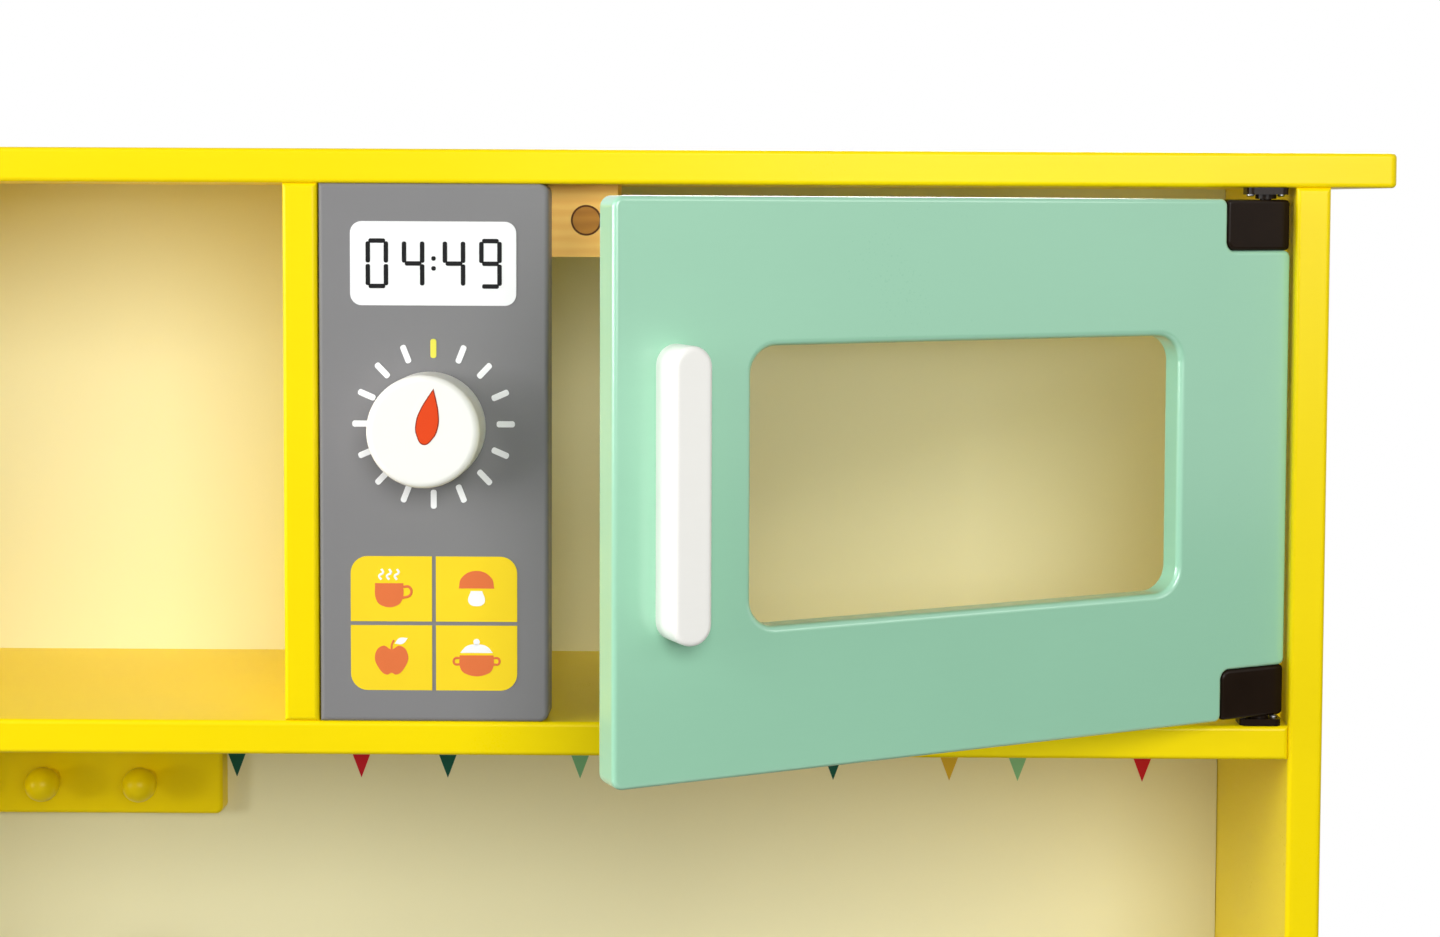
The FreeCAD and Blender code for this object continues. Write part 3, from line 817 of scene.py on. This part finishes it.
doors = {
    "microwave": {"side": -1, "reach": 309.9 * mm},
    "oven": {"side": -1, "reach": 410.4 * mm},
    "cupboard": {"side": 1, "reach": 310.8 * mm},
}
hinges = {joint["child"]: joint for joint in frame["joints"]}
doorBack = 7.5 * mm       # door's inner face behind its hinge axis


# puts a piece on a closed door's inner face and swings it to where the door stands
def onDoorBack(piece, name, along, height):
    hinge = hinges[name + "_door"]
    pivot = Vector(hinge["pos_m"])
    x = pivot.x + doors[name]["side"] * along
    pointAlong(piece, (x, pivot.y + doorBack, height), (0, 1, 0))
    turn = Matrix.Rotation(math.radians(-hinge["range_deg"][0]), 4, Vector(hinge["axis"]))
    piece.matrix_world = Matrix.Translation(pivot) @ turn @ Matrix.Translation(-pivot)
    applyPlace(piece)
    return piece


fittings = {
    "handleEdge": 25.6 * mm, "handleScrews": 36.0 * mm,
    "strikeEdge": 13.6 * mm, "strikeDrop": 10.7 * mm, "strikeScale": (0.7, 0.7, 0.18),
    "plate": 3.0 * mm, "plateScrews": 6.7 * mm, "plateScale": 0.55,
    "clipLength": 20.0 * mm, "clipWidth": 9.0 * mm, "clipThick": 1.4 * mm, "clipHead": 4.0 * mm,
    "rebateEdge": 50.0 * mm, "clipOut": 6.0 * mm, "clipShares": (0.28, 0.66),
}


# turning clip that holds a pane, its free end towards -X
def paneClip(screw):
    size = fittings
    clip = startSheet("paneClip", size["clipLength"], size["clipWidth"])
    roundCorners(size["clipWidth"] * 0.42, 6)
    thicken(size["clipThick"])
    head = copyOf(screw, "clipScrew")
    head.location = (size["clipHead"], 0, size["clipThick"])
    applyPlace(head)
    return clip, head


# heads behind the handles and on the strike discs, and the clips round the panes
def doorScrews(screw):
    clip, clipHead = paneClip(screw)
    size = fittings
    for name, door in doors.items():
        body = name + "_door"
        low, high = (corner.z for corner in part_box(name + "_door_panel"))
        middle = (low + high) / 2
        heads = []
        for shift in (-size["handleScrews"], size["handleScrews"]):
            head = copyOf(screw, "head")
            heads.append(onDoorBack(head, name, door["reach"] - size["handleEdge"], middle + shift))
        strike = copyOf(screw, "head")
        strike.scale = size["strikeScale"]
        applyPlace(strike)
        level = high - size["strikeDrop"]
        heads.append(onDoorBack(strike, name, door["reach"] - size["strikeEdge"], level))
        if name + "_door_pane" in frame["nodes"]:
            edge = size["rebateEdge"] - size["clipOut"]
            spots = [(share * door["reach"], height, turn) for share in size["clipShares"]
                     for height, turn in ((high - edge, -math.pi / 2), (low + edge, math.pi / 2))]
            strips = []
            for along, height, turn in spots:
                for model, group in ((clip, strips), (clipHead, heads)):
                    part = copyOf(model, "clipPart")
                    moveFlat(part, 0, 0, turn)
                    group.append(onDoorBack(part, name, along, height))
            dress(joinAll(strips, name + "PaneClips"), finishes["black_plastic"], body)
        dress(joinAll(heads, name + "DoorScrews"), finishes["steel"], body)
    discard(clip)
    discard(clipHead)


# two small heads on each pivot plate, beside its collar
def plateScrews(screw):
    heads = []
    for name in doors:
        pivot = Vector(hinges[name + "_door"]["pos_m"])
        for seat, up in zip(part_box(name + "_pivot_plates"), (1, -1)):
            for side in (-1, 1):
                head = copyOf(screw, "head")
                head.scale = [fittings["plateScale"]] * 3
                applyPlace(head)
                x = pivot.x + side * fittings["plateScrews"]
                place = (x, pivot.y, seat.z + up * fittings["plate"])
                pointAlong(head, place, (0, 0, up))
                heads.append(head)
    dress(joinAll(heads, "pivotPlateScrews"), finishes["steel"], "carcass")


boardBolts = {
    "radius": 4.5 * mm, "head": 2.5 * mm, "rim": 0.4 * mm, "socket": 2.3 * mm,
    "socketDepth": 1.7 * mm, "shank": 2.5 * mm, "length": 42.5 * mm,
    "edge": 35.0 * mm,    # bolt to the front or rear edge of the board that it holds
    "levels": (("hutch_shelf", (-1, 1)), ("base_floor", (-1, 1)), ("oven_floor", (1,))),
    "uprights": ("left_side_panel", "hutch_divider", "right_side_panel"),
}


# board screw with a hexagonal socket, its face on the XY plane
def boardBolt():
    size = boardBolts
    bolt = startDisc("boardBolt", size["radius"], 32)
    lift(size["head"] - size["rim"])
    lift(size["rim"], 0.93)
    pick("FACE", lambda p: p.z < size["rim"] * 0.1)
    bpy.ops.mesh.inset(thickness=size["radius"] - size["shank"])
    lift(-size["length"])
    closeMesh()
    socket = startDisc("socket", size["socket"], 6)
    thicken(size["head"])
    socket.location.z = size["head"] - size["socketDepth"]
    applyPlace(socket)
    carve(bolt, socket)
    bolt.location.z = -size["head"]
    applyPlace(bolt)
    return bolt


# places on the outer faces, each with the way out
def boltPlaces():
    edge = boardBolts["edge"]
    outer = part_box("right_side_panel")[1].x
    places = []
    for node, sides in boardBolts["levels"]:
        low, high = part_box(node)
        for side in sides:
            for y in (low.y + edge, high.y - edge):
                places.append(((side * outer, y, (low.z + high.z) / 2), (side, 0, 0)))
    for node in boardBolts["uprights"]:
        low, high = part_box(node)
        for y in (shelfLow.y + edge, shelfHigh.y - edge):
            places.append((((low.x + high.x) / 2, y, cadBox[1][2]), (0, 0, 1)))
    return places


def carcassBolts():
    model = boardBolt()
    bolts = []
    for place, outward in boltPlaces():
        bolt = copyOf(model, "bolt")
        pointAlong(bolt, place, outward)
        bolts.append(bolt)
    discard(model)
    screws = joinAll(bolts, "carcassBolts")
    dress(screws, finishes["steel"], "carcass")
    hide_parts("carcass_screws")


nails = {
    "radius": 2.3 * mm, "height": 0.7 * mm,
    "wide": ("base_floor", "worktop", "hutch_shelf"), "wideX": (-360, -240, -120, 0, 120, 240, 360),
    "ovenX": (60, 165, 270), "dividerZ": (230, 330, 430, 800, 930),
}


def boxMiddle(node):
    low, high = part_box(node)
    return (low + high) / 2


# round nail heads that hold the back panels
def backNails():
    model = startDisc("nail", nails["radius"], 20)
    lift(nails["height"] * 0.5)
    lift(nails["height"] * 0.5, 0.7)
    closeMesh()
    rows = [(node, nails["wideX"]) for node in nails["wide"]] + [("oven_floor", nails["ovenX"])]
    places = [(x * mm, boxMiddle(node).z) for node, row in rows for x in row]
    places += [(boxMiddle("hutch_divider").x, z * mm) for z in nails["dividerZ"]]
    heads = []
    for x, z in places:
        head = copyOf(model, "nailHead")
        pointAlong(head, (x, splashHigh.y, z), (0, 1, 0))
        heads.append(head)
    discard(model)
    dress(joinAll(heads, "backNails"), finishes["steel"], "carcass")


# sizes of the painted-shade ring in the gap round each magnet
gapShadeSizes = {"inner": 5.9 * mm, "outer": 6.75 * mm, "thick": 0.15 * mm}


# flat ring in the XY plane
def flatRing(name, inner, outer, thick, sides=48):
    ring = startDisc(name, outer, sides)
    bpy.ops.mesh.inset(thickness=outer - inner)
    bpy.ops.mesh.delete(type="FACE")
    thicken(thick)
    return ring


# painted shade: a dark ring standing for the shaded gap round each magnet
def paintGapShades():
    model = flatRing("gapShadeRing", gapShadeSizes["inner"], gapShadeSizes["outer"], gapShadeSizes["thick"])
    for name in doors:
        x, face, z = knobFront(name + "_magnet")
        line = copyOf(model, name + "MagnetGapShade")
        faceFront(line, x, face, z)
        dress(line, inks["brown"], "carcass")
    discard(model)


screwModel = panScrew("panScrew")
doorScrews(screwModel)
plateScrews(screwModel)
discard(screwModel)
carcassBolts()
backNails()
paintGapShades()
print("screws and fittings placed")

# Sink, taps and hob

sinkLow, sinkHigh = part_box("sink_bowl")
sinkX = (sinkLow.x + sinkHigh.x) / 2
sinkY = (sinkLow.y + sinkHigh.y) / 2
drain = {
    "radius": 21.0 * mm, "height": 1.6 * mm, "rim": 3.5 * mm, "dish": 0.8 * mm,
    "hole": 2.2 * mm, "ring": 8.5 * mm, "holes": 7, "gap": 0.1 * mm,
    "floor": sinkLow.z + 2.0 * mm,    # bowl's inner bottom, one wall above its outer one
}


def sinkDrain():
    plate = startDisc("sinkDrain", drain["radius"], 48)
    lift(drain["height"] * 0.6)
    lift(drain["height"] * 0.4, 0.96)
    bpy.ops.mesh.inset(thickness=drain["rim"])
    lift(-drain["dish"], 0.94)
    closeMesh()
    for i in range(drain["holes"]):
        angle = i * math.tau / drain["holes"]
        hole = startDisc("drainHole", drain["hole"], 20)
        thicken(4 * drain["height"])
        hole.location = (drain["ring"] * math.cos(angle), drain["ring"] * math.sin(angle),
                         -drain["height"])
        applyPlace(hole)
        carve(plate, hole)
    place = (sinkX, sinkY, drain["floor"] + drain["gap"])
    pointAlong(plate, place, (0, 0, 1))
    dress(plate, finishes["steel"], "carcass")
    shadow = startDisc("drainShadow", drain["ring"] + 2 * drain["hole"], 32)
    lift(drain["gap"], 0.98)
    closeMesh()
    pointAlong(shadow, (sinkX, sinkY, drain["floor"]), (0, 0, 1))
    dress(shadow, inks["black"], "carcass")


mouth = {
    "radius": 4.4 * mm, "wall": 1.0 * mm, "depth": 2.4 * mm, "recess": 0.5 * mm,
    "collarStep": 3.0 * mm,    # collar's radius past the tube's
    "rise": 12.0 * mm,         # mouth above the post's top
}


# ring inside the spout's mouth
def spoutMouth():
    low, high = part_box("faucet_spout")
    ring = startDisc("spoutMouth", mouth["radius"], 32)
    lift(mouth["depth"])
    bpy.ops.mesh.inset(thickness=mouth["wall"])
    lift(-mouth["depth"] * 0.6, 0.95)
    closeMesh()
    spoutX = (low.x + high.x) / 2
    spoutY = low.y + (high.x - low.x) / 2 - mouth["collarStep"]
    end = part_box("faucet_post")[1].z + mouth["rise"]
    pointAlong(ring, (spoutX, spoutY, end + mouth["recess"] + mouth["depth"]), (0, 0, -1))
    dress(ring, finishes["steel"], "spout")


tapDots = {"radius": 5.0 * mm, "thick": 0.6 * mm, "taps": (("left", "red"), ("right", "blue"))}


def tapMarks():
    for side, ink in tapDots["taps"]:
        low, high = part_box(side + "_tap_handle")
        dot = startDisc(side + "TapDot", tapDots["radius"], 32)
        lift(tapDots["thick"] * 0.6)
        lift(tapDots["thick"] * 0.4, 0.9)
        closeMesh()
        pointAlong(dot, ((low.x + high.x) / 2, (low.y + high.y) / 2, high.z), (0, 0, 1))
        dress(dot, inks[ink], side + "_tap")


coils = {"radii": (24.0, 42.0), "width": 3.6 * mm, "thick": 0.7 * mm, "groove": 1.2 * mm}


# red heating coils painted in the grooves of the hob rings
def hobCoils():
    half = coils["width"] / 2
    models = [flatRing("coil", r * mm - half, r * mm + half, coils["thick"], 64) for r in coils["radii"]]
    pair = joinAll(models, "coilPair")
    for side in ("left", "right"):
        low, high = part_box(side + "_hob_ring")
        coil = copyOf(pair, side + "HobCoils")
        place = ((low.x + high.x) / 2, (low.y + high.y) / 2, high.z - coils["groove"])
        pointAlong(coil, place, (0, 0, 1))
        dress(coil, inks["coilRed"], "carcass")
    discard(pair)


sinkDrain()
spoutMouth()
tapMarks()
hobCoils()
print("sink, taps and hob finished")

# Camera at the photograph's angle

photo = {"width": 1440, "height": 937, "focal": 2374.29, "centre": (775.03, 323.46),
         "place": Vector((159.85, -1035.18, 977.93)) * mm, "yaw": -0.19, "pitch": 2.94, "roll": 0.28}


def photoCamera():
    yaw, pitch, roll = (math.radians(photo[key]) for key in ("yaw", "pitch", "roll"))
    ahead = Vector((math.sin(yaw) * math.cos(pitch), math.cos(yaw) * math.cos(pitch), -math.sin(pitch)))
    right = Vector((math.cos(yaw), -math.sin(yaw), 0))
    down = ahead.cross(right)
    turnedRight = math.cos(roll) * right - math.sin(roll) * down
    turnedDown = math.sin(roll) * right + math.cos(roll) * down
    deselectAll()
    bpy.ops.object.camera_add()
    camera = bpy.context.object
    camera.name = "photoCamera"
    axes = Matrix((turnedRight, -turnedDown, -ahead)).transposed()
    camera.matrix_world = Matrix.Translation(photo["place"]) @ axes.to_4x4()
    camera.data.sensor_width = 36
    camera.data.lens = photo["focal"] / photo["width"] * camera.data.sensor_width
    camera.data.shift_x = (photo["width"] / 2 - photo["centre"][0]) / photo["width"]
    camera.data.shift_y = (photo["centre"][1] - photo["height"] / 2) / photo["width"]
    camera.data.clip_start = 0.01
    bpy.context.scene.camera = camera


# Light and floor

studio = {
    "worldLight": 0.02,
    "lamps": (
        ("keyLamp", (0.55, -2.13, 1.58), (1.1, 1.1), 31.0),
        ("leftLamp", (-1.66, -1.22, 1.62), (1.8, 1.2), 23.0),
        ("lowLamp", (-2.0, -1.53, 0.88), (0.4, 0.4), 8.0),
        ("sideLamp", (-2.14, -0.4, 1.17), (0.8, 0.8), 23.0),
        ("rightLamp", (1.87, -1.24, 1.64), (0.8, 0.8), 5.5),
        ("frontLamp", (0.68, -2.0, 0.96), (1.1, 0.28), 3.0),
        ("backLamp", (0.6, 2.4, 1.9), (1.6, 1.6), 55.0),
    ),
    "aim": Vector((0, 0, 0.8)), "floor": 12.0, "fadeFrom": 0.9, "fadeTo": 1.6,
    "floorColour": (0.86, 0.86, 0.85, 1), "floorBounce": (0.2, 0.2, 0.2, 1),
}


def studioLamp(name, place, size, power):
    deselectAll()
    bpy.ops.object.light_add(type="AREA", location=place)
    lamp = bpy.context.object
    lamp.name = name
    lamp.rotation_euler = (studio["aim"] - Vector(place)).to_track_quat("-Z", "Y").to_euler()
    lamp.data.shape = "RECTANGLE"
    lamp.data.size, lamp.data.size_y = size
    lamp.data.energy = power
    lamp.visible_camera = False


def whiteWorld():
    world = bpy.data.worlds.new("studioWorld")
    bpy.context.scene.world = world
    sky = Finish(world)
    seen = sky.node("LightPath", output="Is Camera Ray")
    for ray in ("Is Glossy Ray", "Is Transmission Ray"):
        seen = seen.maths("MAXIMUM", seen, sky.node("LightPath", output=ray))
    white = (1, 1, 1, 1)
    dim = sky.node("Background", {}, {"Color": white, "Strength": studio["worldLight"]})
    bright = sky.node("Background", {}, {"Color": white, "Strength": 1.0})
    both = sky.node("MixShader", {}, {0: seen, 1: dim, 2: bright})
    sky.node("OutputWorld", {}, {"Surface": both})


def paleFloor():
    deselectAll()
    bpy.ops.mesh.primitive_plane_add(size=studio["floor"])
    floor = named("floor")
    pale = newFinish("paleFloor")
    away = pale.node("VectorMath", {"operation": "LENGTH"}, {0: pale.places()}, 1)
    far = pale.step(away, studio["fadeFrom"], studio["fadeTo"])
    seen = pale.node("LightPath", output="Is Camera Ray")
    bounced = pale.node("LightPath", output="Is Diffuse Ray")
    shade = pale.mix(bounced, studio["floorColour"], studio["floorBounce"])
    matte = pale.node("BsdfDiffuse", {}, {"Color": shade})
    white = pale.node("Emission", {}, {"Color": (1, 1, 1, 1), "Strength": 1.0})
    both = pale.node("MixShader", {}, {0: far * seen, 1: matte, 2: white})
    pale.node("OutputMaterial", {}, {"Surface": both})
    floor.data.materials.append(pale.block)


photoCamera()
for lamp in studio["lamps"]:
    studioLamp(*lamp)
whiteWorld()
paleFloor()
bpy.context.scene.view_settings.view_transform = "Standard"
print("camera, light and floor set")
